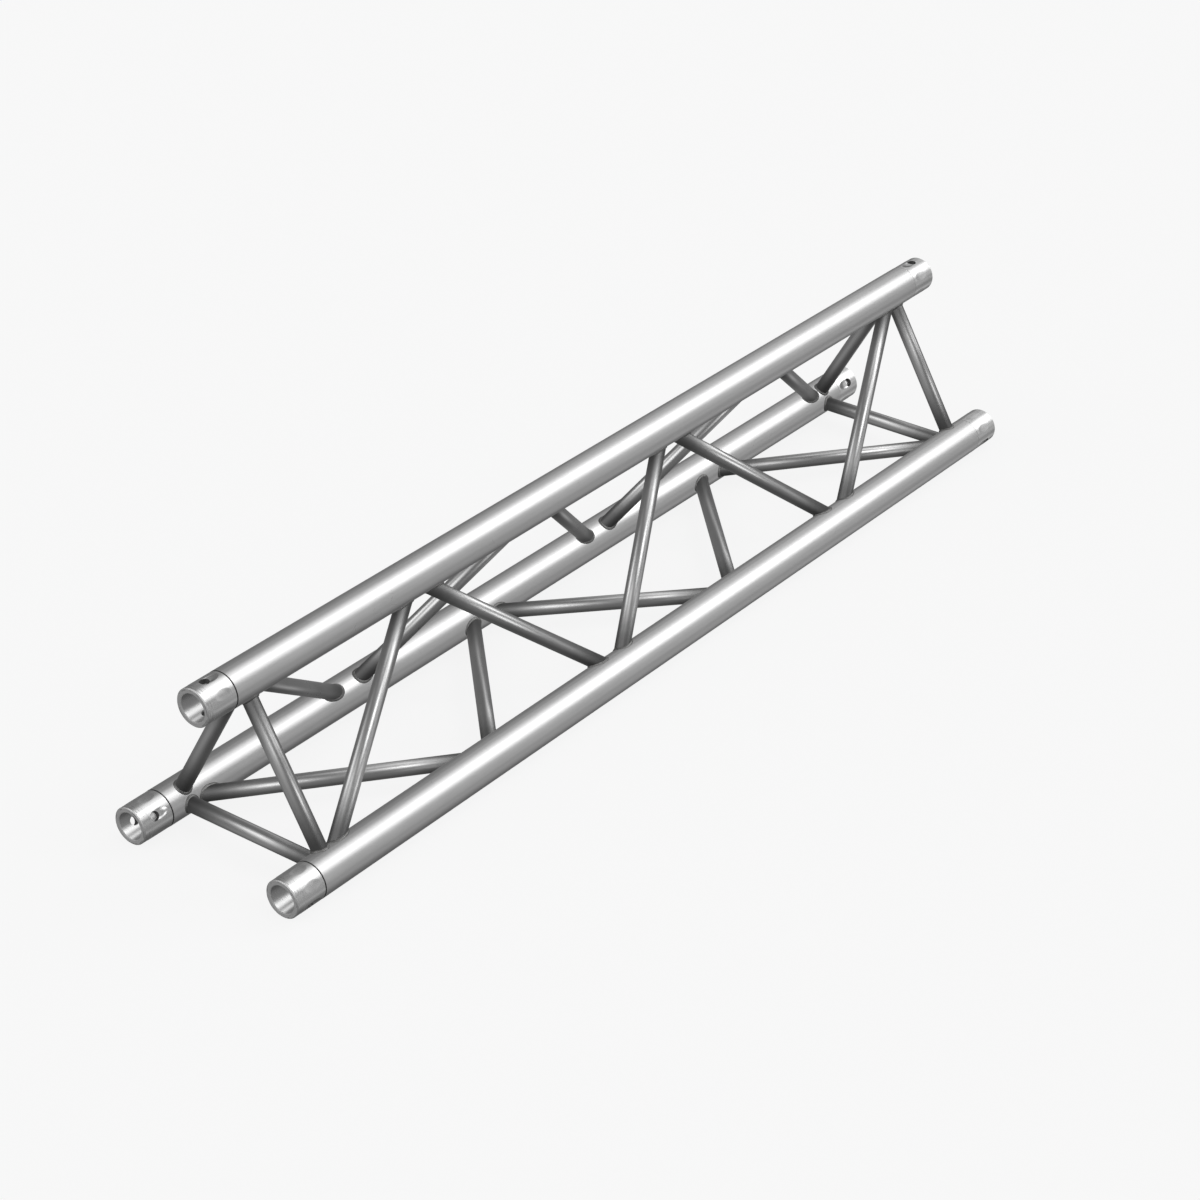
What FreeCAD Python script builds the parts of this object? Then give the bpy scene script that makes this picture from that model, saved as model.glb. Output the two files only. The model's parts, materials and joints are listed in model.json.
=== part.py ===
import FreeCAD, Part
import math
import os

# Triangular lighting truss section, welded from aluminium tube.
# Three chord tubes run along X, tied on each of the three faces by two end braces and a zigzag of
# five diagonals. A turned receiver is pressed and welded into each chord end. Two sections join with
# a conical coupler in facing receivers, held by a pin across each receiver.
# Millimetres. +X along the chords, +Z up, origin under the middle of the section, on the ground.

# Driving dimensions.
LENGTH = 1500.0                 # over the receiver faces
CHORD_SPACING = 240.0           # between chord axes, the same on all three sides
CHORD_RADIUS = 25.0
CHORD_WALL = 2.0
BRACE_RADIUS = 10.0
BRACE_WALL = 2.0

# Panel points, where brace axes meet the chord axes.
END_OFFSET = 78.0               # from a receiver face to the end braces
END_BAY = 294.0                 # first and last diagonal
DIAGONALS = 5

# Receiver, from its open mouth inwards.
RECEIVER_LENGTH = 46.0          # mouth to the shoulder that meets the chord
RECEIVER_RADIUS = 24.8
MOUTH_BAND_LENGTH = 12.0
MOUTH_BAND_RADIUS = 24.6
MOUTH_CHAMFER = 1.2
SPIGOT_LENGTH = 30.0            # pressed into the chord
SPIGOT_CLEARANCE = 0.05
SOCKET_MOUTH_RADIUS = 18.0      # conical seat for the coupler
SOCKET_END_RADIUS = 15.0        # small end of the seat, and on through the spigot
SOCKET_DEPTH = 42.0
SOCKET_CHAMFER = 0.8
PIN_HOLE_RADIUS = 6.0
PIN_HOLE_INSET = 21.0           # from the mouth to the pin hole's axis

# Welds.
GROOVE = 1.5                    # bevel on the chord's end, open to the receiver's shoulder
GROOVE_FILL = 0.6               # height of weld metal left in the bottom of the groove
BEAD_LEG = 2.2                  # flat-faced bead round each brace foot
BEAD_REACH = 90.0               # how far the stubs that shape a bead run from its panel point

ALONG = FreeCAD.Vector(1, 0, 0)
SECTION_RADIUS = CHORD_SPACING / math.sqrt(3)       # section centre to a chord axis
SECTION_CENTRE_HEIGHT = CHORD_RADIUS + SECTION_RADIUS / 2

# Direction of each chord from the section's centre, in degrees from +Y towards +Z.
CHORD_ANGLES = {"top": 90.0, "rear": -30.0, "front": 210.0}
# Each face runs from its first chord to its second, in the same turn round the section.
FACES = {"front": ("front", "top"), "rear": ("top", "rear"), "bottom": ("rear", "front")}
ENDS = {"left": -1, "right": 1}


def outward(chord):
    """Unit vector from the section's centre to a chord."""
    angle = math.radians(CHORD_ANGLES[chord])
    return FreeCAD.Vector(0, math.cos(angle), math.sin(angle))


def on_chord(chord, x):
    """Point on a chord's axis at x."""
    centre = FreeCAD.Vector(x, 0, SECTION_CENTRE_HEIGHT)
    return centre + outward(chord) * SECTION_RADIUS


def cylinder(start, end, radius):
    return Part.makeCylinder(radius, (end - start).Length, start, end - start)


def panel_points():
    """x of the panel points, from the left end brace to the right one."""
    inner_bay = (LENGTH - 2 * END_OFFSET - 2 * END_BAY) / (DIAGONALS - 2)
    bays = [END_BAY] + [inner_bay] * (DIAGONALS - 2) + [END_BAY]
    points = [-LENGTH / 2 + END_OFFSET]
    for bay in bays:
        points.append(points[-1] + bay)
    return points


def turned(profile, chord, end):
    """Revolve a closed (depth, radius) profile about a chord's axis, depth measured in from an end."""
    side = ENDS[end]
    mouth = on_chord(chord, side * LENGTH / 2)
    radial = outward(chord)
    points = [mouth - ALONG * side * depth + radial * radius for depth, radius in profile]
    face = Part.Face(Part.makePolygon(points + points[:1]))
    return face.revolve(mouth, ALONG, 360)


def chord_tube(chord):
    """Tube between the receivers' shoulders, with its outer edges bevelled for the weld."""
    start_x = -LENGTH / 2 + RECEIVER_LENGTH
    start = on_chord(chord, start_x)
    end = on_chord(chord, -start_x)
    bar = cylinder(start, end, CHORD_RADIUS)
    bar = bar.makeChamfer(GROOVE, [edge for edge in bar.Edges if edge.Closed])
    return bar.cut(cylinder(start, end, CHORD_RADIUS - CHORD_WALL))


def receiver(chord, end):
    """Turned receiver: conical socket, reduced mouth band, spigot, and a radial pin hole."""
    spigot_radius = CHORD_RADIUS - CHORD_WALL - SPIGOT_CLEARANCE
    overall = RECEIVER_LENGTH + SPIGOT_LENGTH
    profile = [
        (0, SOCKET_MOUTH_RADIUS + SOCKET_CHAMFER),
        (0, MOUTH_BAND_RADIUS - MOUTH_CHAMFER),
        (MOUTH_CHAMFER, MOUTH_BAND_RADIUS),
        (MOUTH_BAND_LENGTH, MOUTH_BAND_RADIUS),
        (MOUTH_BAND_LENGTH, RECEIVER_RADIUS),
        (RECEIVER_LENGTH, RECEIVER_RADIUS),
        (RECEIVER_LENGTH, spigot_radius),
        (overall, spigot_radius),
        (overall, SOCKET_END_RADIUS),
        (SOCKET_DEPTH, SOCKET_END_RADIUS),
        (SOCKET_CHAMFER, SOCKET_MOUTH_RADIUS),
    ]
    body = turned(profile, chord, end)
    centre = on_chord(chord, ENDS[end] * (LENGTH / 2 - PIN_HOLE_INSET))
    reach = outward(chord) * 2 * CHORD_RADIUS
    return body.cut(cylinder(centre - reach, centre + reach, PIN_HOLE_RADIUS))


def receiver_weld(chord, end):
    """Weld ring in the bottom of the groove between a receiver's shoulder and its chord."""
    root = CHORD_RADIUS - GROOVE
    profile = [
        (RECEIVER_LENGTH, root),
        (RECEIVER_LENGTH, root + GROOVE_FILL),
        (RECEIVER_LENGTH + GROOVE_FILL, root + GROOVE_FILL),
    ]
    return turned(profile, chord, end)


def brace(start, end, chord_bars):
    """Brace tube between two panel points, coped to the chords."""
    tube = cylinder(start, end, BRACE_RADIUS).cut(cylinder(start, end, BRACE_RADIUS - BRACE_WALL))
    for bar in chord_bars:
        tube = tube.cut(bar)
    return tube


def lean_of(start, end):
    """Angle in radians between a brace and the chords it joins."""
    direction = (end - start).normalize()
    return math.acos(abs(direction.x))


def bead(angle):
    """Bead round a brace foot, for a panel point at the origin, a chord along X and a brace that
    rises along +Z, leaning towards +X to this angle from the chord."""
    origin = FreeCAD.Vector()
    direction = FreeCAD.Vector(math.cos(angle), 0, math.sin(angle))
    chord_stub = cylinder(ALONG * -BEAD_REACH, ALONG * BEAD_REACH, CHORD_RADIUS)
    # The brace is tilted from upright, which keeps its surface's seam on the side it leans to.
    brace_stub = Part.makeCylinder(BRACE_RADIUS, BEAD_REACH)
    brace_stub.rotate(origin, FreeCAD.Vector(0, 1, 0), 90 - math.degrees(angle))
    joint = chord_stub.fuse(brace_stub)
    foot_edges = [edge for edge in joint.Edges if is_foot_edge(edge, direction)]
    return joint.makeChamfer(BEAD_LEG, foot_edges).cut(joint)


def is_foot_edge(edge, direction):
    """True where an edge of a bead's joint lies on both the chord's surface and the brace's."""
    origin = FreeCAD.Vector()
    tolerance = 0.01
    middle = edge.valueAt((edge.FirstParameter + edge.LastParameter) / 2)
    off_chord = abs(middle.distanceToLine(origin, ALONG) - CHORD_RADIUS)
    off_brace = abs(middle.distanceToLine(origin, direction) - BRACE_RADIUS)
    return off_chord < tolerance and off_brace < tolerance


def foot_weld(shape, point, towards):
    """A bead, turned and moved to the foot of the brace that leaves a panel point towards another."""
    span = towards - point
    lean = ALONG if span.x >= 0 else -ALONG
    rise = (span - ALONG * span.x).normalize()
    turn = FreeCAD.Rotation(lean, rise.cross(lean), rise)
    placed = shape.copy()
    placed.Placement = FreeCAD.Placement(point, turn)
    return placed


def brace_welds(start, end, beads):
    """Both beads of a brace. Beads are kept by the brace's lean, since few differ."""
    angle = lean_of(start, end)
    key = round(angle, 6)
    if key not in beads:
        beads[key] = bead(angle)
    return Part.makeCompound([foot_weld(beads[key], start, end), foot_weld(beads[key], end, start)])


def face_braces(face):
    """Name and two panel points of each brace on a face, from left to right."""
    first, second = FACES[face]
    xs = panel_points()
    braces = [(face + "_end_brace_left", on_chord(first, xs[0]), on_chord(second, xs[0]))]
    for index in range(DIAGONALS):
        from_chord, to_chord = (first, second) if index % 2 == 0 else (second, first)
        name = "%s_diagonal_%d" % (face, index + 1)
        braces.append((name, on_chord(from_chord, xs[index]), on_chord(to_chord, xs[index + 1])))
    braces.append((face + "_end_brace_right", on_chord(first, xs[-1]), on_chord(second, xs[-1])))
    return braces


def build():
    """All sub-parts, by node name."""
    parts = {}
    beads = {}
    half = LENGTH / 2
    bars = {chord: cylinder(on_chord(chord, -half), on_chord(chord, half), CHORD_RADIUS)
            for chord in CHORD_ANGLES}
    for chord in CHORD_ANGLES:
        parts[chord + "_chord"] = chord_tube(chord)
        for end in ENDS:
            parts["%s_receiver_%s" % (chord, end)] = receiver(chord, end)
            parts["%s_receiver_weld_%s" % (chord, end)] = receiver_weld(chord, end)
    for face, chords in FACES.items():
        for name, start, end in face_braces(face):
            parts[name] = brace(start, end, [bars[chord] for chord in chords])
            parts[name + "_welds"] = brace_welds(start, end, beads)
    return parts


os.makedirs("parts", exist_ok=True)
for node, shape in build().items():
    shape.exportStep("parts/%s.step" % node)
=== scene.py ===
import bisect
import json
import math
import random

import bmesh
import bpy
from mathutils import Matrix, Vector


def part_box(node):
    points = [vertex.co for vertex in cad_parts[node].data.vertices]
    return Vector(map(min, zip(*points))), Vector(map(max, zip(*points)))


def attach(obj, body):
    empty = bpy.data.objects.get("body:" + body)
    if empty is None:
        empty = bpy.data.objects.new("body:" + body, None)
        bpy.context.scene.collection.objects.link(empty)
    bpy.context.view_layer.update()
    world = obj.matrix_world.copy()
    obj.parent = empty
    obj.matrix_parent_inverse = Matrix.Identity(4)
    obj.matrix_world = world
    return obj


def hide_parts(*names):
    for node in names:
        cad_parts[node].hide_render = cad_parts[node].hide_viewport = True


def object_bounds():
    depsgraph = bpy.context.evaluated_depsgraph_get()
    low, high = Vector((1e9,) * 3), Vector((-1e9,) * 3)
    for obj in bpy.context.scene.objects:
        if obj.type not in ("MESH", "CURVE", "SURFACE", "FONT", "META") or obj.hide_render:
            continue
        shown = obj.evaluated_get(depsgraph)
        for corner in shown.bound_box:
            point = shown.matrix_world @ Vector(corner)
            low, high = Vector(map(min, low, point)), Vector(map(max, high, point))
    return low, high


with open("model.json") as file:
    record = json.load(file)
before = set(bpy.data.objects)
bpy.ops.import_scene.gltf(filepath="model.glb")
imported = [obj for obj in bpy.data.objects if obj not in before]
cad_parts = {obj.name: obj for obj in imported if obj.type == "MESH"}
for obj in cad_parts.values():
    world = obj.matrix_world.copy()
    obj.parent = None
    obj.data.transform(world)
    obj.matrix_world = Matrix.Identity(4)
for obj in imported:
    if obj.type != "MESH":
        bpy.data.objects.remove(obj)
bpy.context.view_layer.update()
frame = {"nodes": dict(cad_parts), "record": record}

# Lighting truss section. The CAD chords, braces and receivers are shown as they are, each with its
# own procedural metal, and rippled weld beads and rings stand for the plain ones.
# Metres, and degrees for angles that are named here.

CHORDS = ("top", "rear", "front")
ENDS = {"left": -1, "right": 1}
FACES = {"front": ("front", "top"), "rear": ("top", "rear"), "bottom": ("rear", "front")}
DIAGONALS = 5
ALONG = Vector((1, 0, 0))

CAMERA_PLACE = (-2.7545, -2.1112, 2.0260)
CAMERA_TURN = (60.09, 0.0, -52.46)
CAMERA_LENS = 91.51             # mm, on a sensor this wide
CAMERA_SENSOR = 36.0
CAMERA_REACH = 200.0

FLOOR_RADIUS = 40.0
FLOOR_DROP = 0.0005             # keeps the floor clear of the chords' undersides
FLOOR_GLOW = 0.872
FLOOR_PAINT = 0.07
BACKDROP_RADIUS = 48.0
BACKDROP_GLOW = 0.93
BACKDROP_RINGS = 24
STAGE_SIDES = 96

# Softboxes, each a row of soft lamps: the direction of its first and its last lamp (azimuth from +X
# towards +Y, elevation), how many lamps, their sharpness, and the first and the last one's strength.
SOFTBOXES = [
    # Over the front of the section, a tall one and a flat one.
    ((-36, 28), (-22, 48), 3, 90, (3.1, 2.5)),
    ((-18, 40), (-2, 48), 3, 90, (1.5, 1.1)),
    # The tall one's reflection off the floor.
    ((-43, 7), (-43, -33), 3, 90, (0.9, 0.5)),
    # Over the rear of the section.
    ((11, 51), (39, 19), 3, 90, (1.2, 0.6)),
    # Beyond the left end, and behind the section.
    ((-150, 33), (-163, 48), 2, 45, (2.6, 1.8)),
    ((140, 40), (158, 22), 2, 35, (2.6, 1.0)),
]
# Single lamps: azimuth, elevation, sharpness and strength.
LAMPS = [
    # The flat softbox's reflection off the floor.
    (-16, -39, 90, 0.6),
    # Glints on the braces.
    (-72, 48, 60, 5.6), (-78, 4, 60, 3.6), (5, 74, 60, 1.4),
    # Wide fill from the left end and from behind.
    (-172, 12, 8, 0.5), (142, -37, 8, 0.2),
]
# Even light all round, which falls off between these cosines from straight down.
STUDIO_DIM = 0.24
STUDIO_FALL = 0.12
STUDIO_FALL_COSINES = (0.45, 0.95)

# Grey of each metal and how rough it is.
CHORD_TONE, CHORD_SHEEN = 0.53, 0.34
RECEIVER_TONE, RECEIVER_SHEEN = 0.57, 0.26
BRACE_TONE, BRACE_SHEEN = 0.47, 0.30
WELD_TONE, WELD_SHEEN = 0.20, 0.5
DRESSED_TONE = 0.47
NEUTRAL = (1.0, 1.0, 1.0)
WELD_TINT = (1.0, 0.995, 0.985)
# How much rougher the metal is where soot and painted shade darken it.
SOOT_AND_SHADE_ROUGHER = 0.3
# How strong the scratches are.
CHORD_WEAR = 1.0
BRACE_WEAR = 0.8
# How far a brace's sheen turns towards its ends, as the slope at a foot.
BRACE_CROWN = 0.45
# Angle of each set of scratches to the tube, in radians, and where its noise is read.
SCRATCHES = ((0.35, 3.1), (-0.6, 7.7), (1.25, 12.9))

# Weld soot together with painted shade that darkens the metal, and the two distances between which it
# fades:
# in the groove at a chord's left end and towards the braces' feet it is soot and painted shade, in
# the pin hole painted shade only. Its edge on the braces is ragged.
GROOVE_SOOT_AND_SHADE = 0.9
GROOVE_SOOT_AND_SHADE_FADE = (0.0022, 0.0014)
FOOT_SOOT_AND_SHADE = 0.68
FOOT_SOOT_AND_SHADE_REACH = 0.075
FOOT_SOOT_AND_SHADE_RAGGED = 0.012
PIN_BORE_SHADE = 0.8

# Receivers. Each fade is given by two depths from the mouth.
SOCKET_EDGE = 0.0186            # radius that parts the socket from the outside
PIN_BORE_RADIUS = 0.0061
EDGE_BLEND = 0.0002
SOCKET_MATT = 0.06
SOCKET_STEEPER = 0.62           # how much steeper than the cone the socket's sheen looks
LIP_FADE = (0.0004, 0.006)
SCUFF_FADE = (0.016, 0.008)
FACED_FADE = (0.0016, 0.0010)
FACED_ROUGHER = 0.30
# Dished marks on the outside, as turn from the pin hole, half length, half width and height of bump.
DISH_DEPTH = 0.0285             # of their middles, from the mouth
DISHES = (
    (0, 0.0145, 0.0068, 0.0016),
    (60, 0.0130, 0.0070, 0.0003),
    (120, 0.0130, 0.0070, 0.0003),
)

# Weld beads.
BEAD_LEG = 0.0021
BEAD_SKIN = 0.0001              # how far its edges sink into the tubes
BEAD_ROOT = 0.0004              # how far its root sinks into the corner
BEAD_CROWN = 0.0002
BEAD_RIPPLE = 0.00022
BEAD_PITCH = 0.0017
BEAD_SWELL = 0.4                # how much the ripples differ, as a share of their height
BEAD_TRAIL = 1.6                # how far a ripple's edges trail its middle, in radians of its pitch
BEAD_SAMPLES = 5                # to a ripple
BEAD_STEPS = 6                  # across the face
CURVE_STEPS = 720               # round a foot, to measure it
# Weld rings.
RING_PITCH = 0.0015
RING_SAMPLES = 4
RING_RIPPLE = 0.06              # share of the ring's width
RING_TRAIL = 1.4
DRESSED_SINK = 0.00008          # how far a ring that is dressed flush stays under the chord's surface


# ---------------------------------------------------------------- places, read from the frame

def middle(node):
    low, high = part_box(node)
    return (low + high) / 2


def size(node):
    low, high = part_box(node)
    return high - low


def chord_axis(chord):
    """Point on a chord's axis, at the middle of the section."""
    return middle(chord + "_chord")


def on_chord(chord, x):
    return chord_axis(chord) + ALONG * x


def panel_points(face):
    """x of a face's panel points. A brace's middle is halfway between its two."""
    points = [middle(face + "_end_brace_left").x]
    for index in range(DIAGONALS):
        points.append(2 * middle("%s_diagonal_%d" % (face, index + 1)).x - points[-1])
    return points


def face_braces(face):
    """Name and two panel points of each brace on a face."""
    first, second = FACES[face]
    xs = panel_points(face)
    braces = [(face + "_end_brace_left", on_chord(first, xs[0]), on_chord(second, xs[0]))]
    for index in range(DIAGONALS):
        from_chord, to_chord = (first, second) if index % 2 == 0 else (second, first)
        name = "%s_diagonal_%d" % (face, index + 1)
        braces.append((name, on_chord(from_chord, xs[index]), on_chord(to_chord, xs[index + 1])))
    braces.append((face + "_end_brace_right", on_chord(first, xs[-1]), on_chord(second, xs[-1])))
    return braces


CHORD_RADIUS = size("top_chord").z / 2
BRACE_RADIUS = size("front_end_brace_left").x / 2


# ---------------------------------------------------------------- shader building

class Graph:
    """Adds shader nodes to one tree."""

    def __init__(self, tree):
        self.tree = tree
        tree.nodes.clear()

    def add(self, kind, inputs=None, **settings):
        made = self.tree.nodes.new(kind)
        for name, value in settings.items():
            setattr(made, name, value)
        for name, value in (inputs or {}).items():
            if isinstance(value, bpy.types.NodeSocket):
                self.tree.links.new(value, made.inputs[name])
            else:
                made.inputs[name].default_value = value
        return made

    def math(self, operation, *values):
        return self.add("ShaderNodeMath", dict(enumerate(values)), operation=operation).outputs[0]

    def vector(self, operation, *values):
        made = self.add("ShaderNodeVectorMath", dict(enumerate(values)), operation=operation)
        return made.outputs["Value" if operation in ("DOT_PRODUCT", "LENGTH") else "Vector"]

    def combine(self, x, y, z):
        return self.add("ShaderNodeCombineXYZ", {"X": x, "Y": y, "Z": z}).outputs[0]

    def noise(self, vector, scale, detail=2.0, rough=0.5):
        """Noise about 0, from about -0.5 to 0.5, with its own waves to the metre on each axis."""
        scaled = self.vector("MULTIPLY", vector, scale)
        made = self.add("ShaderNodeTexNoise", {"Vector": scaled, "Scale": 1.0, "Detail": detail,
                                               "Roughness": rough})
        return self.math("SUBTRACT", made.outputs["Fac"], 0.5)

    def between(self, value, low, high):
        """0 at low and 1 at high, smooth between. low may be the greater one."""
        made = self.add("ShaderNodeMapRange", {"Value": value, "From Min": low, "From Max": high},
                        interpolation_type="SMOOTHSTEP")
        return made.outputs["Result"]

    def total(self, start, *terms):
        """start plus each weight times its socket."""
        value = start
        for weight, socket in terms:
            value = self.math("MULTIPLY_ADD", socket, weight, value)
        return value


def aluminium(name, tone, sheen, build, tint=NEUTRAL):
    """Metal with the shade, roughness, height, soot with painted shade, and metallic value that
    build(graph, place) gives. The soot and painted shade darken its colour and make it rougher."""
    material = bpy.data.materials.new(name)
    material.use_nodes = True
    graph = Graph(material.node_tree)
    place = graph.add("ShaderNodeTexCoord").outputs["Object"]
    shade, rough, height, soot_and_shade, metallic = build(graph, place)
    clean = graph.math("SUBTRACT", 1.0, soot_and_shade)
    value = graph.math("MULTIPLY", graph.total(tone, (1.0, shade)), clean)
    colour = graph.add("ShaderNodeCombineColor", {
        "Red": graph.math("MULTIPLY", value, tint[0]),
        "Green": graph.math("MULTIPLY", value, tint[1]),
        "Blue": graph.math("MULTIPLY", value, tint[2]),
    }).outputs[0]
    bump = graph.add("ShaderNodeBump", {"Height": height, "Strength": 1.0, "Distance": 1.0})
    surface = graph.add("ShaderNodeBsdfPrincipled", {
        "Base Color": colour,
        "Metallic": metallic,
        "Roughness": graph.total(sheen, (1.0, rough), (SOOT_AND_SHADE_ROUGHER, soot_and_shade)),
        "Normal": bump.outputs[0],
    })
    graph.add("ShaderNodeOutputMaterial", {"Surface": surface.outputs[0]})
    return material


# ---------------------------------------------------------------- tubes

def tube_frame(graph, place, centre, direction):
    """Place measured along a tube and on two axes across it."""
    side = direction.cross(Vector((0, 0, 1)))
    if side.length < 0.1:
        side = direction.cross(Vector((0, 1, 0)))
    side.normalize()
    up = side.cross(direction)
    moved = graph.vector("SUBTRACT", place, centre)
    along = graph.vector("DOT_PRODUCT", moved, direction)
    across = graph.vector("DOT_PRODUCT", moved, side)
    over = graph.vector("DOT_PRODUCT", moved, up)
    return along, across, over


def scratches(graph, place, skin):
    """Patches of fine scratches, 1 on a scratch, over a skin laid flat."""
    patch = graph.between(graph.noise(place, (17, 17, 17), detail=2.0), 0.02, 0.2)
    marks = 0.0
    for angle, seed in SCRATCHES:
        rotated = graph.add("ShaderNodeVectorRotate", {"Vector": skin, "Angle": angle},
                            rotation_type="Z_AXIS").outputs[0]
        offset = graph.vector("ADD", rotated, (seed, seed, seed))
        line = graph.noise(offset, (34, 1500, 0), detail=1.0)
        marks = graph.math("MAXIMUM", graph.between(line, 0.2, 0.26), marks)
    return graph.math("MULTIPLY", marks, patch)


def drawn_tube(centre, direction, radius, wear, soot_and_shade, crown=0.0, length=1.0):
    """Surface of an extruded tube: die lines along it, faint blotches, handling scratches, and the
    weld soot with painted shade that its soot function gives from (graph, along, grain). A crown
    turns its sheen towards both ends of its length."""
    def build(graph, place):
        along, across, over = tube_frame(graph, place, centre, direction)
        local = graph.combine(along, across, over)
        turn = graph.math("MULTIPLY", graph.math("ARCTAN2", over, across), radius)
        fine = graph.noise(local, (6, 2400, 2400), detail=3.0)
        band = graph.noise(local, (1.6, 300, 300), detail=2.0)
        blotch = graph.noise(place, (14, 14, 14), detail=4.0, rough=0.6)
        haze = graph.noise(place, (130, 130, 130), detail=3.0, rough=0.6)
        scratch = scratches(graph, place, graph.combine(along, turn, 0.0))
        shade = graph.total(0.0, (0.04, fine), (0.05, band), (0.07, blotch),
                            (-0.06 * wear, scratch))
        rough = graph.total(0.0, (0.06, fine), (0.08, band), (0.12, blotch), (0.06, haze),
                            (-0.08 * wear, scratch))
        height = graph.total(0.0, (3.0e-6, fine), (8.0e-6, band), (8.0e-6, haze),
                             (-1.2e-5 * wear, scratch), (5.0e-5, blotch))
        if crown:
            from_middle = graph.math("SUBTRACT", along, length / 2)
            square = graph.math("POWER", from_middle, 2.0)
            height = graph.total(height, (-crown / length, square))
        return shade, rough, height, soot_and_shade(graph, along, haze), 1.0
    return build


def end_soot_and_shade(half):
    """Weld soot and painted shade in the weld groove at a chord's left end, for a chord of this half
    length.
    """
    def soot_and_shade(graph, along, grain):
        gap = graph.math("ADD", along, half)
        return graph.math("MULTIPLY", graph.between(gap, *GROOVE_SOOT_AND_SHADE_FADE), GROOVE_SOOT_AND_SHADE)
    return soot_and_shade


def foot_soot_and_shade(length, lean):
    """Weld soot with painted shade, darkest at both feet of a brace and fading along it from them.
    lean is the sine of its angle to the chords."""
    skin = CHORD_RADIUS / lean

    def soot_and_shade(graph, along, grain):
        near = graph.math("MINIMUM", along, graph.math("SUBTRACT", length, along))
        edge = graph.total(near, (FOOT_SOOT_AND_SHADE_RAGGED, grain))
        faded = graph.between(edge, skin + FOOT_SOOT_AND_SHADE_REACH, skin)
        return graph.math("MULTIPLY", faded, FOOT_SOOT_AND_SHADE)
    return soot_and_shade


# ---------------------------------------------------------------- receivers

def oval(graph, aside, along, half_length, half_width):
    """1 in the middle of an oval, 0 at its rim and outside it."""
    stretch = graph.math("POWER", graph.math("DIVIDE", along, half_length), 2.0)
    spread = graph.math("POWER", graph.math("DIVIDE", aside, half_width), 2.0)
    return graph.between(graph.math("ADD", stretch, spread), 1.0, 0.0)


def dishes(graph, moved, depth, pin_axis):
    """Height lost to the dished marks round a receiver."""
    tangent = ALONG.cross(pin_axis)
    along = graph.math("SUBTRACT", depth, DISH_DEPTH)
    relief = 0.0
    for turn, half_length, half_width, sink in DISHES:
        angle = math.radians(turn)
        sideways = tangent * math.cos(angle) - pin_axis * math.sin(angle)
        aside = graph.vector("DOT_PRODUCT", moved, sideways)
        relief = graph.total(relief, (sink, oval(graph, aside, along, half_length, half_width)))
    return relief


def bore_shade(graph, place, pin_place, pin_axis):
    """Painted shade inside the pin hole, which darkens its wall."""
    drop = graph.vector("CROSS_PRODUCT", graph.vector("SUBTRACT", place, pin_place), pin_axis)
    from_axis = graph.vector("LENGTH", drop)
    bore = graph.between(from_axis, PIN_BORE_RADIUS + EDGE_BLEND, PIN_BORE_RADIUS)
    return graph.math("MULTIPLY", bore, PIN_BORE_SHADE)


def turned_receiver(centre, pin_place, pin_axis, mouth, inward):
    """Surface of a turned piece: tool rings, a worn lip, scuffs, dished marks, painted shade in the
    pin hole and a matt socket. mouth is its open end's x from the centre, inward the sign of x into
    it."""
    def build(graph, place):
        moved = graph.vector("SUBTRACT", place, centre)
        along = graph.vector("DOT_PRODUCT", moved, ALONG)
        radius = graph.vector("LENGTH", graph.vector("MULTIPLY", moved, (0, 1, 1)))
        depth = graph.math("MULTIPLY", graph.math("SUBTRACT", along, mouth), inward)
        outside = graph.between(radius, SOCKET_EDGE - EDGE_BLEND, SOCKET_EDGE + EDGE_BLEND)

        wobble = graph.noise(place, (90, 90, 90), detail=1.0)
        lathe = graph.total(graph.math("ADD", along, radius), (0.0004, wobble))
        ring = graph.noise(graph.combine(lathe, 0.0, 0.0), (3600, 1, 1), detail=3.0, rough=0.7)
        step = graph.noise(graph.combine(lathe, 5.0, 0.0), (420, 1, 1), detail=2.0)
        blotch = graph.noise(place, (28, 28, 28), detail=2.0)
        haze = graph.noise(place, (160, 160, 160), detail=2.0)

        rub = graph.noise(place, (45, 900, 900), detail=2.0)
        lip = graph.math("SUBTRACT", 1.0, graph.between(depth, *LIP_FADE))
        worn = graph.math("MULTIPLY", lip, graph.between(rub, -0.05, 0.2))
        patch = graph.between(graph.noise(place, (60, 150, 150), detail=2.0), 0.0, 0.1)
        hatch = graph.math("MULTIPLY", graph.between(step, 0.0, 0.12), patch)
        scuffed = graph.math("MULTIPLY", graph.between(depth, *SCUFF_FADE), outside)
        scuff = graph.math("MULTIPLY", hatch, scuffed)
        faced = graph.between(depth, *FACED_FADE)

        relief = graph.math("MULTIPLY", dishes(graph, moved, depth, pin_axis), outside)
        steeper = graph.math("MULTIPLY", depth, graph.math("SUBTRACT", 1.0, outside))
        # Painted shade in the pin hole, on its wall only.
        soot_and_shade = graph.math("MULTIPLY", bore_shade(graph, place, pin_place, pin_axis), outside)
        shade = graph.total(0.0, (0.01, ring), (0.03, step), (0.09, blotch), (0.04, worn),
                            (-0.26, scuff))
        rough = graph.total(0.0, (0.02, ring), (0.05, step), (0.14, blotch), (0.03, haze),
                            (-0.05, worn), (0.10, scuff), (FACED_ROUGHER, faced))
        height = graph.total(0.0, (2.0e-7, ring), (1.5e-6, step), (1.5e-6, haze), (4.0e-6, worn),
                             (6.0e-5, blotch), (-1.0, relief), (SOCKET_STEEPER, steeper))
        metallic = graph.math("MULTIPLY_ADD", outside, SOCKET_MATT, 1.0 - SOCKET_MATT)
        return shade, rough, height, soot_and_shade, metallic
    return build


# ---------------------------------------------------------------- welds

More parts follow.
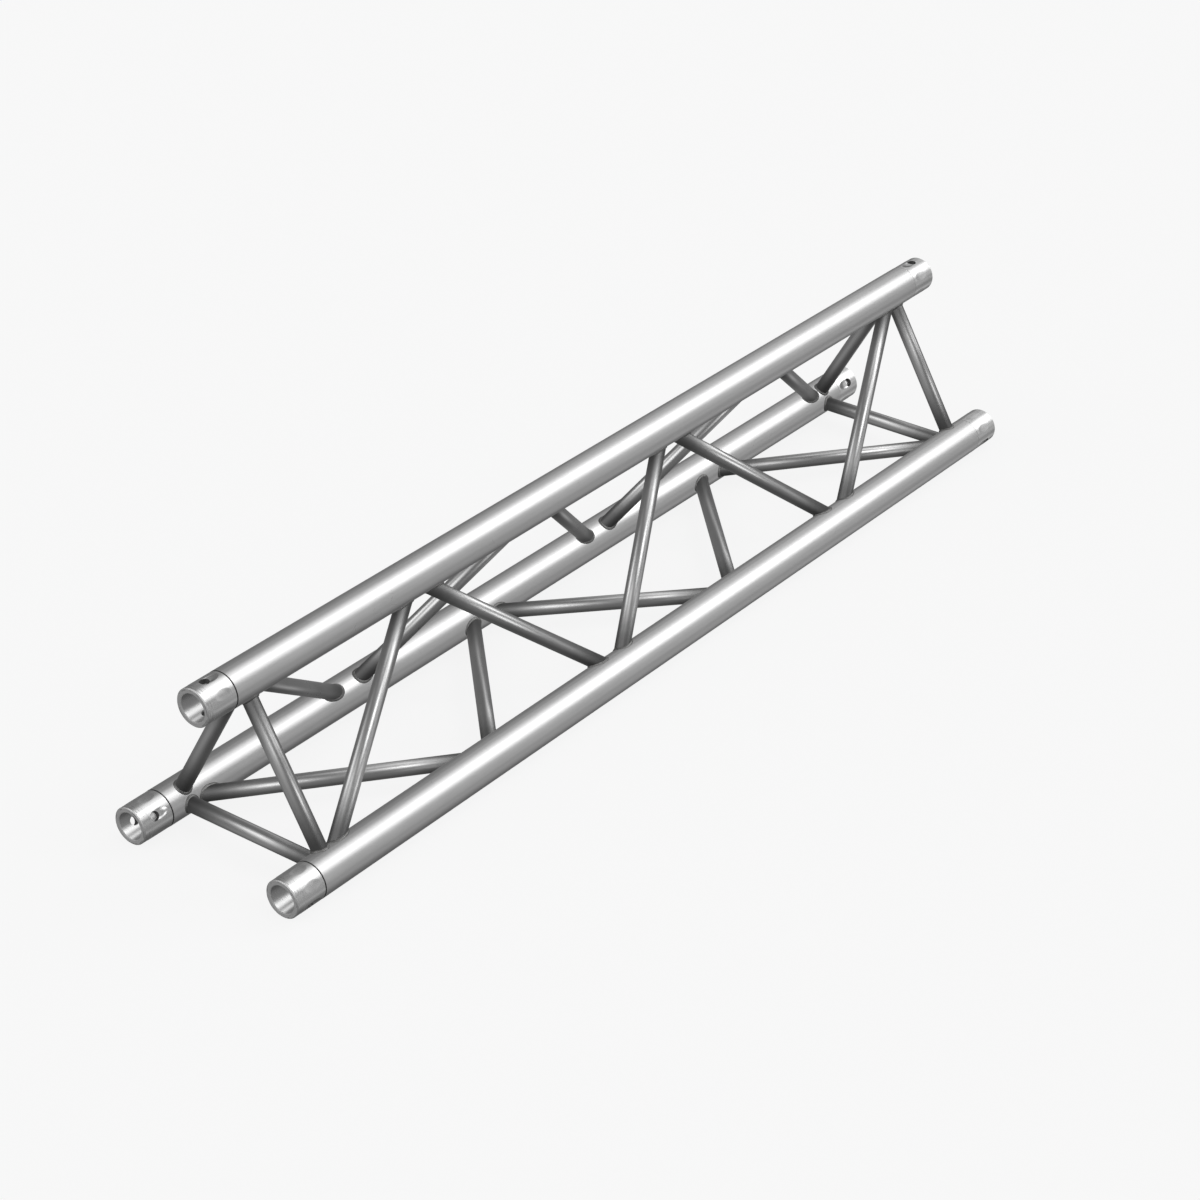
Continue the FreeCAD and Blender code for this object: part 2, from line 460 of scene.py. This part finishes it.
def cast_weld(graph, place):
    """Surface of weld metal: grainy, with a dull oxide skin, and no soot or painted shade."""
    grain = graph.noise(place, (900, 900, 900), detail=4.0, rough=0.7)
    patch = graph.noise(place, (120, 120, 120), detail=3.0)
    shade = graph.total(0.0, (0.16, grain), (0.22, patch))
    rough = graph.total(0.0, (0.14, grain), (0.2, patch))
    height = graph.total(0.0, (8.0e-5, grain), (1.0e-4, patch))
    return shade, rough, height, 0.0, 1.0


def mesh_piece(name, points, faces, node, material):
    """A smooth closed mesh that stands for a CAD node. Like the rest of the section, it shows in no
    reflection: the tubes reflect only the studio."""
    mesh = bpy.data.meshes.new(name)
    mesh.from_pydata(points, [], faces)
    mesh.validate()
    shaped = bmesh.new()
    shaped.from_mesh(mesh)
    bmesh.ops.recalc_face_normals(shaped, faces=shaped.faces)
    shaped.to_mesh(mesh)
    shaped.free()
    mesh.polygons.foreach_set("use_smooth", [True] * len(mesh.polygons))
    mesh.materials.append(material)
    piece = bpy.data.objects.new(name, mesh)
    bpy.context.scene.collection.objects.link(piece)
    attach(piece, "root")
    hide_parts(node)
    piece.visible_glossy = False


def band(ring, after, count):
    """Quads between two rings of count points, by the rings' places in the list of points."""
    quads = []
    for index in range(count):
        beside = (index + 1) % count
        quads.append((ring * count + index, ring * count + beside,
                      after * count + beside, after * count + index))
    return quads


def loft(rings):
    """Points and quads of a tube of rings that closes on itself, each ring a closed outline."""
    points = [point for ring in rings for point in ring]
    faces = []
    for ring in range(len(rings)):
        faces.extend(band(ring, (ring + 1) % len(rings), len(rings[0])))
    return points, faces


def foot_curve(tilt):
    """The curve where a brace's surface meets its chord's, for a chord along X and a brace that
    rises from the origin at this angle to it: a function of the turn round the brace that gives
    the point and the ways straight off the chord and off the brace there."""
    def root(turn):
        across = BRACE_RADIUS * math.sin(turn)
        up = math.sqrt(CHORD_RADIUS ** 2 - across ** 2)
        reach = (up - BRACE_RADIUS * math.cos(turn) * math.cos(tilt)) / math.sin(tilt)
        away = reach * math.cos(tilt) - BRACE_RADIUS * math.cos(turn) * math.sin(tilt)
        off_chord = Vector((0, across, up)) / CHORD_RADIUS
        off_brace = Vector((-math.cos(turn) * math.sin(tilt), math.sin(turn),
                            math.cos(turn) * math.cos(tilt)))
        return Vector((away, across, up)), off_chord, off_brace
    return root


def lengths_round(root):
    """Length along a foot's curve from its start to each of its steps."""
    line = [root(2 * math.pi * index / CURVE_STEPS)[0] for index in range(CURVE_STEPS)]
    lengths = [0.0]
    for index in range(CURVE_STEPS):
        lengths.append(lengths[-1] + (line[(index + 1) % CURVE_STEPS] - line[index]).length)
    return lengths


def turn_at(lengths, wanted):
    """Turn round the brace at a wanted length along its foot's curve."""
    before = bisect.bisect_left(lengths, wanted, 1) - 1
    share = (wanted - lengths[before]) / (lengths[before + 1] - lengths[before])
    return 2 * math.pi * (before + share) / CURVE_STEPS


def under_skin(point, axis, radius):
    """The place just under a tube's surface that is nearest to a point."""
    foot = axis * point.dot(axis)
    return foot + (point - foot).normalized() * (radius - BEAD_SKIN)


def bead_outline(centre, off_chord, off_brace, brace_axis, ripple, swell):
    """Section of a bead at one point of its foot's curve: a rounded face, and its root."""
    path = off_chord.cross(off_brace).normalized()
    up_brace = off_brace.cross(path).normalized()
    over_chord = path.cross(off_chord).normalized()
    low = under_skin(centre + over_chord * BEAD_LEG, ALONG, CHORD_RADIUS)
    high = under_skin(centre + up_brace * BEAD_LEG, brace_axis, BRACE_RADIUS)
    outwards = (over_chord + up_brace).normalized()
    outline = []
    for step in range(BEAD_STEPS + 1):
        across = step / BEAD_STEPS
        hump = math.sin(math.pi * across)
        phase = ripple + BEAD_TRAIL * (2 * across - 1) ** 2
        wave = 0.5 + 0.5 * math.cos(phase) + BEAD_SWELL * swell
        outline.append(low.lerp(high, across) + outwards * hump * (BEAD_CROWN + BEAD_RIPPLE * wave))
    outline.append(centre - (off_chord + off_brace) * BEAD_ROOT)
    return outline


def foot_bead(point, towards, chance):
    """Rings of a rippled bead round the foot of the brace that leaves point towards another."""
    direction = (towards - point).normalized()
    lean = ALONG if direction.x >= 0 else -ALONG
    rise = (direction - ALONG * direction.x).normalized()
    side = rise.cross(lean)
    tilt = math.atan2(direction.dot(rise), direction.dot(lean))
    brace_axis = Vector((math.cos(tilt), 0, math.sin(tilt)))
    root = foot_curve(tilt)
    lengths = lengths_round(root)
    ripples = round(lengths[-1] / BEAD_PITCH)
    count = ripples * BEAD_SAMPLES
    start = chance.random()
    swells = [chance.uniform(-1, 1) for _ in range(ripples)]
    rings = []
    for index in range(count):
        centre, off_chord, off_brace = root(turn_at(lengths, lengths[-1] * index / count))
        ripple = 2 * math.pi * (index / BEAD_SAMPLES + start)
        swell = swells[index // BEAD_SAMPLES]
        outline = bead_outline(centre, off_chord, off_brace, brace_axis, ripple, swell)
        rings.append([point + lean * p.x + side * p.y + rise * p.z for p in outline])
    return rings


def make_foot_welds(name, start, end, material, chance):
    """Both beads of a brace, as one piece."""
    points, faces = [], []
    for near, far in ((start, end), (end, start)):
        some, quads = loft(foot_bead(near, far, chance))
        faces.extend(tuple(index + len(points) for index in quad) for quad in quads)
        points.extend(some)
    mesh_piece(name + "_weld_beads", points, faces, name + "_welds", material)


def ring_outline(end, flush):
    """Section of a weld ring, as shares of the CAD ring's width from the shoulder and from the
    groove's bottom: low in the groove at the left end, filled and dressed flush at the right."""
    if end == "left":
        return ((0.02, 0.0), (0.02, 0.86), (0.28, 0.93), (0.62, 0.95), (1.0, 0.92), (0.55, 0.4))
    edge = flush - 0.02
    return ((0.02, 0.0), (0.02, edge), (0.08, flush), (2.34, flush), (2.4, edge), (1.2, 1.1))


def make_ring_weld(chord, end, material):
    """Weld ring between a receiver's shoulder and its chord. Only the low ones are rippled."""
    node = "%s_receiver_weld_%s" % (chord, end)
    low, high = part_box(node)
    side = ENDS[end]
    shoulder = low.x if side < 0 else high.x
    width = high.x - low.x
    crest = (high.z - low.z) / 2
    base = crest - width
    outline = ring_outline(end, (CHORD_RADIUS - base - DRESSED_SINK) / width)
    ripple = RING_RIPPLE if end == "left" else 0.0
    axis = chord_axis(chord)
    count = round(2 * math.pi * crest / RING_PITCH) * RING_SAMPLES
    rings = []
    for index in range(count):
        turn = 2 * math.pi * index / count
        radial = Vector((0, math.cos(turn), math.sin(turn)))
        ring = []
        for depth, share in outline:
            phase = 2 * math.pi * (index / RING_SAMPLES) + RING_TRAIL * depth
            wave = ripple * math.cos(phase) if share > 0.5 else 0.0
            radius = base + width * (share + wave)
            ring.append(axis + radial * radius + ALONG * (shoulder - side * width * depth - axis.x))
        rings.append(ring)
    points, faces = loft(rings)
    name = "%s_receiver_weld_ring_%s" % (chord, end)
    mesh_piece(name, points, faces, node, material)


# ---------------------------------------------------------------- the section

def dress(node, material):
    """Give a shown CAD node its material, and keep it out of reflections."""
    shown = frame["nodes"][node]
    shown.data.materials.clear()
    shown.data.materials.append(material)
    shown.visible_glossy = False


def make_chord(chord):
    # Weld soot and painted shade in the groove at the left end.
    soot_and_shade = end_soot_and_shade(size(chord + "_chord").x / 2)
    look = drawn_tube(chord_axis(chord), ALONG, CHORD_RADIUS, CHORD_WEAR, soot_and_shade)
    material = aluminium(chord + "_chord_aluminium", CHORD_TONE, CHORD_SHEEN, look)
    dress(chord + "_chord", material)


def make_receiver(chord, end):
    node = "%s_receiver_%s" % (chord, end)
    low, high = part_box(node)
    side = ENDS[end]
    axis = chord_axis(chord)
    mouth = (low.x if side < 0 else high.x) - axis.x
    mounts = {mount["name"]: mount for mount in frame["record"]["mounts"]}
    pin = mounts["%s_pin_hole_%s" % (chord, end)]
    look = turned_receiver(axis, Vector(pin["pos_m"]), Vector(pin["axis"]), mouth, -side)
    name = "%s_receiver_aluminium_%s" % (chord, end)
    dress(node, aluminium(name, RECEIVER_TONE, RECEIVER_SHEEN, look))


def make_brace(name, start, end):
    direction = (end - start).normalized()
    length = (end - start).length
    # Weld soot and painted shade towards the feet.
    soot_and_shade = foot_soot_and_shade(length, math.sqrt(1 - direction.x ** 2))
    look = drawn_tube(start, direction, BRACE_RADIUS, BRACE_WEAR, soot_and_shade, BRACE_CROWN, length)
    dress(name, aluminium(name + "_aluminium", BRACE_TONE, BRACE_SHEEN, look))


def make_object():
    chance = random.Random(41)
    weld = aluminium("weld_metal", WELD_TONE, WELD_SHEEN, cast_weld, WELD_TINT)
    dressed = aluminium("dressed_weld_metal", DRESSED_TONE, CHORD_SHEEN, cast_weld)
    for chord in CHORDS:
        make_chord(chord)
        for end in ENDS:
            make_receiver(chord, end)
            make_ring_weld(chord, end, weld if end == "left" else dressed)
    for face in FACES:
        for name, start, end in face_braces(face):
            make_brace(name, start, end)
            make_foot_welds(name, start, end, weld, chance)


# ---------------------------------------------------------------- studio

def circle(radius, height):
    turns = [2 * math.pi * index / STAGE_SIDES for index in range(STAGE_SIDES)]
    return [(radius * math.cos(turn), radius * math.sin(turn), height) for turn in turns]


def stage_piece(name, circles, material):
    """Disc, or dome where there are more circles than one, that only the camera sees."""
    points = [point for ring in circles for point in ring]
    faces = []
    for ring in range(len(circles) - 1):
        faces.extend(band(ring, ring + 1, STAGE_SIDES))
    faces.append(tuple(range(STAGE_SIDES)))
    if len(circles) > 1:
        faces.append(tuple(range(len(points) - STAGE_SIDES, len(points))))
    mesh = bpy.data.meshes.new(name)
    mesh.from_pydata(points, [], faces)
    mesh.materials.append(material)
    shown = bpy.data.objects.new(name, mesh)
    bpy.context.scene.collection.objects.link(shown)
    shown.visible_diffuse = False
    shown.visible_glossy = False
    shown.visible_transmission = False
    shown.visible_volume_scatter = False
    shown.visible_shadow = False


def pale(name, glow, paint):
    """White that glows by itself, with some paint that takes light."""
    material = bpy.data.materials.new(name)
    material.use_nodes = True
    graph = Graph(material.node_tree)
    light = graph.add("ShaderNodeEmission", {"Color": (1, 1, 1, 1), "Strength": glow})
    skin = graph.add("ShaderNodeBsdfDiffuse", {"Color": (paint, paint, paint, 1)})
    both = graph.add("ShaderNodeAddShader", {0: light.outputs[0], 1: skin.outputs[0]})
    graph.add("ShaderNodeOutputMaterial", {"Surface": both.outputs[0]})
    return material


def make_stage():
    floor = [circle(FLOOR_RADIUS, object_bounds()[0].z - FLOOR_DROP)]
    stage_piece("floor", floor, pale("floor_paint", FLOOR_GLOW, FLOOR_PAINT))
    dome = []
    for ring in range(1, BACKDROP_RINGS + 1):
        lift = math.pi * (ring - BACKDROP_RINGS / 2) / (BACKDROP_RINGS + 1)
        dome.append(circle(BACKDROP_RADIUS * math.cos(lift), BACKDROP_RADIUS * math.sin(lift)))
    stage_piece("backdrop", dome, pale("backdrop_paint", BACKDROP_GLOW, 0.0))


def all_lamps():
    """Azimuth, elevation, sharpness and strength of each lamp, those of the softboxes included."""
    lamps = list(LAMPS)
    for first, last, count, sharpness, strengths in SOFTBOXES:
        for index in range(count):
            share = index / (count - 1)
            azimuth = first[0] + (last[0] - first[0]) * share
            elevation = first[1] + (last[1] - first[1]) * share
            strength = strengths[0] + (strengths[1] - strengths[0]) * share
            lamps.append((azimuth, elevation, sharpness, strength))
    return lamps


def make_world():
    world = bpy.data.worlds.new("studio")
    bpy.context.scene.world = world
    world.use_nodes = True
    graph = Graph(world.node_tree)
    way = graph.add("ShaderNodeTexCoord").outputs["Generated"]
    below = graph.between(graph.vector("DOT_PRODUCT", way, (0, 0, -1)), *STUDIO_FALL_COSINES)
    value = graph.total(STUDIO_DIM, (-STUDIO_FALL, below))
    for azimuth, elevation, sharpness, strength in all_lamps():
        turn, lift = math.radians(azimuth), math.radians(elevation)
        aim = (math.cos(lift) * math.cos(turn), math.cos(lift) * math.sin(turn), math.sin(lift))
        facing = graph.vector("DOT_PRODUCT", way, aim)
        lobe = graph.math("EXPONENT", graph.total(-sharpness, (sharpness, facing)))
        value = graph.total(value, (strength, lobe))
    back = graph.add("ShaderNodeBackground", {"Color": (1, 1, 1, 1), "Strength": value})
    graph.add("ShaderNodeOutputWorld", {"Surface": back.outputs[0]})
    bpy.context.scene.view_settings.view_transform = "Standard"


def make_camera():
    data = bpy.data.cameras.new("camera")
    data.lens = CAMERA_LENS
    data.sensor_width = CAMERA_SENSOR
    data.clip_end = CAMERA_REACH
    camera = bpy.data.objects.new("camera", data)
    camera.location = CAMERA_PLACE
    camera.rotation_euler = [math.radians(angle) for angle in CAMERA_TURN]
    bpy.context.scene.collection.objects.link(camera)
    bpy.context.scene.camera = camera


make_object()
make_stage()
make_world()
make_camera()
bpy.context.view_layer.update()
